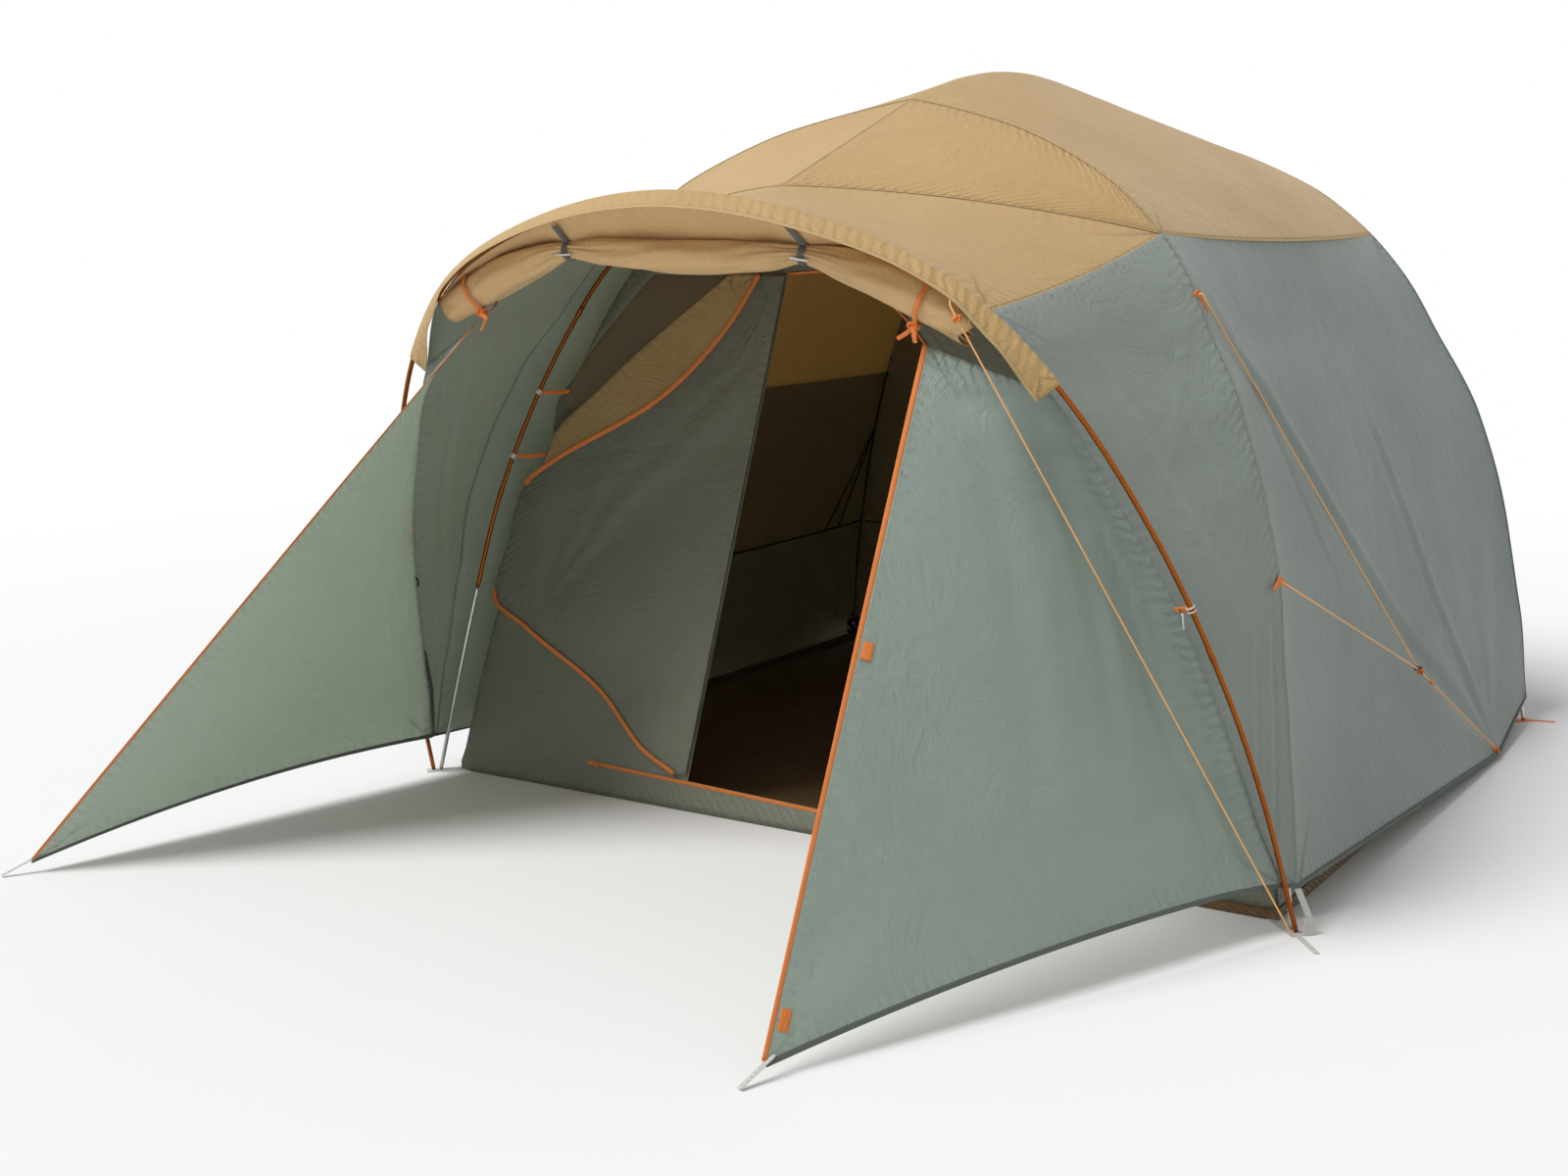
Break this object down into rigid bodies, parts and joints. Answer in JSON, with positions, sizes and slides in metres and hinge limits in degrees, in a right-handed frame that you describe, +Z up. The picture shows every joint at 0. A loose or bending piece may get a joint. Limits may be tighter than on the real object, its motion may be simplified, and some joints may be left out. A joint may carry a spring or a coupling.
{
  "type": "family camping tent",
  "caption": "Family tent with a domed hubbed frame, an inner tent with a folded-back door, a rain fly, and a porch on a leaning arch with pegged-out wings.",
  "frame": {"origin": "centre of the floor's underside, on the ground", "axes": "+X to the viewer's right when facing the doorway, +Y into the tent, +Z up"},
  "size_m": [2.9393, 3.9963, 2.0589],
  "materials": {
    "tan_cloth": "coated woven cloth, matt",
    "grey_cloth": "coated woven cloth, matt",
    "floor_cloth": "heavier coated cloth, matt",
    "mesh_cloth": "fine insect mesh",
    "orange_trim": "zip tape and webbing",
    "grey_webbing": "woven webbing",
    "orange_cord": "braided cord",
    "silver_pole": "satin anodised",
    "copper_pole": "burnt orange anodised",
    "black_nylon": "moulded"
  },
  "bodies": {
    "tent": {"leg_lower_front_left": "silver_pole", "leg_lower_front_right": "silver_pole", "leg_lower_rear_left": "silver_pole", "leg_lower_rear_right": "silver_pole", "leg_upper_front_left": "copper_pole", "leg_upper_front_right": "copper_pole", "leg_upper_rear_left": "copper_pole", "leg_upper_rear_right": "copper_pole", "ridge_pole_front": "copper_pole", "ridge_pole_middle": "copper_pole", "ridge_pole_rear": "copper_pole", "porch_pole": "copper_pole", "hub_front": "black_nylon", "hub_rear": "black_nylon", "floor_tub": "floor_cloth", "inner_wall_left": "grey_cloth", "inner_wall_right": "grey_cloth", "inner_wall_rear": "grey_cloth", "inner_wall_front": "grey_cloth", "inner_roof": "tan_cloth", "window_mesh": "mesh_cloth", "sill_zip": "orange_trim", "fly_roof": "tan_cloth", "fly_gable_front": "tan_cloth", "fly_gable_rear": "tan_cloth", "porch_roof": "tan_cloth", "brow": "tan_cloth", "rolled_door": "tan_cloth", "fly_side_left": "grey_cloth", "fly_side_right": "grey_cloth", "fly_rear": "grey_cloth", "porch_side_left": "grey_cloth", "porch_side_right": "grey_cloth", "wing_left": "grey_cloth", "wing_right": "grey_cloth", "wing_zip_left": "orange_trim", "wing_zip_right": "orange_trim", "corner_tab_front_left": "grey_webbing", "corner_tab_front_right": "grey_webbing", "corner_tab_rear_left": "grey_webbing", "corner_tab_rear_right": "grey_webbing", "corner_strap": "grey_webbing", "guy_upper": "orange_cord", "guy_lower": "orange_cord", "brow_guyline": "orange_cord", "guy_ring": "black_nylon", "pole_clip_left": "orange_trim", "pole_clip_right": "orange_trim", "roll_tie_left": "orange_trim", "roll_tie_right": "orange_trim"},
    "door": {"inner_door": "grey_cloth", "door_band": "tan_cloth"},
    "slider": {"sill_slider": "orange_trim"},
    "tensioner": {"guy_tensioner": "orange_trim"},
    "buckle": {"corner_buckle": "grey_webbing"},
    "roll_bar_left": {"roll_toggle_left": "silver_pole"},
    "roll_bar_right": {"roll_toggle_right": "silver_pole"},
    "hanging_bar_left": {"side_toggle_left": "silver_pole"},
    "hanging_bar_right": {"side_toggle_right": "silver_pole"}
  },
  "joints": [
    {"name": "door_swing", "type": "hinge", "parent": "tent", "child": "door", "pos_m": [-0.446, -1.15521, 0.10228], "axis": [0.1166, 0.1797, 0.9768], "range_deg": [0, 165]},
    {"name": "sill_zip_slide", "type": "slide", "parent": "tent", "child": "slider", "axis": [0.9995, -0.0054, -0.0296], "range_m": [0, 1.0265]},
    {"name": "tensioner_slide", "type": "slide", "parent": "tent", "child": "tensioner", "axis": [0.0957, 0.8781, -0.4689], "range_m": [-0.08, 0.35]},
    {"name": "buckle_release", "type": "slide", "parent": "tent", "child": "buckle", "axis": [0, 0, 1], "range_m": [0, 0.018], "deforming": ["corner_strap"]},
    {"name": "roll_bar_left_turn", "type": "hinge", "parent": "tent", "child": "roll_bar_left", "pos_m": [-0.335, -1.79697, 1.53337], "axis": [0, -0.9332, -0.3593], "range_deg": [-90, 90]},
    {"name": "roll_bar_right_turn", "type": "hinge", "parent": "tent", "child": "roll_bar_right", "pos_m": [0.316, -1.79504, 1.52837], "axis": [0, -0.9332, -0.3593], "range_deg": [-90, 90]},
    {"name": "hanging_bar_left_swing", "type": "hinge", "parent": "tent", "child": "hanging_bar_left", "pos_m": [-1.11385, -1.51106, 0.78433], "axis": [-0.9622, -0.2723, 0], "range_deg": [-12, 8]},
    {"name": "hanging_bar_right_swing", "type": "hinge", "parent": "tent", "child": "hanging_bar_right", "pos_m": [1.11385, -1.51106, 0.78433], "axis": [-0.9622, 0.2723, 0], "range_deg": [-12, 8]}
  ]
}
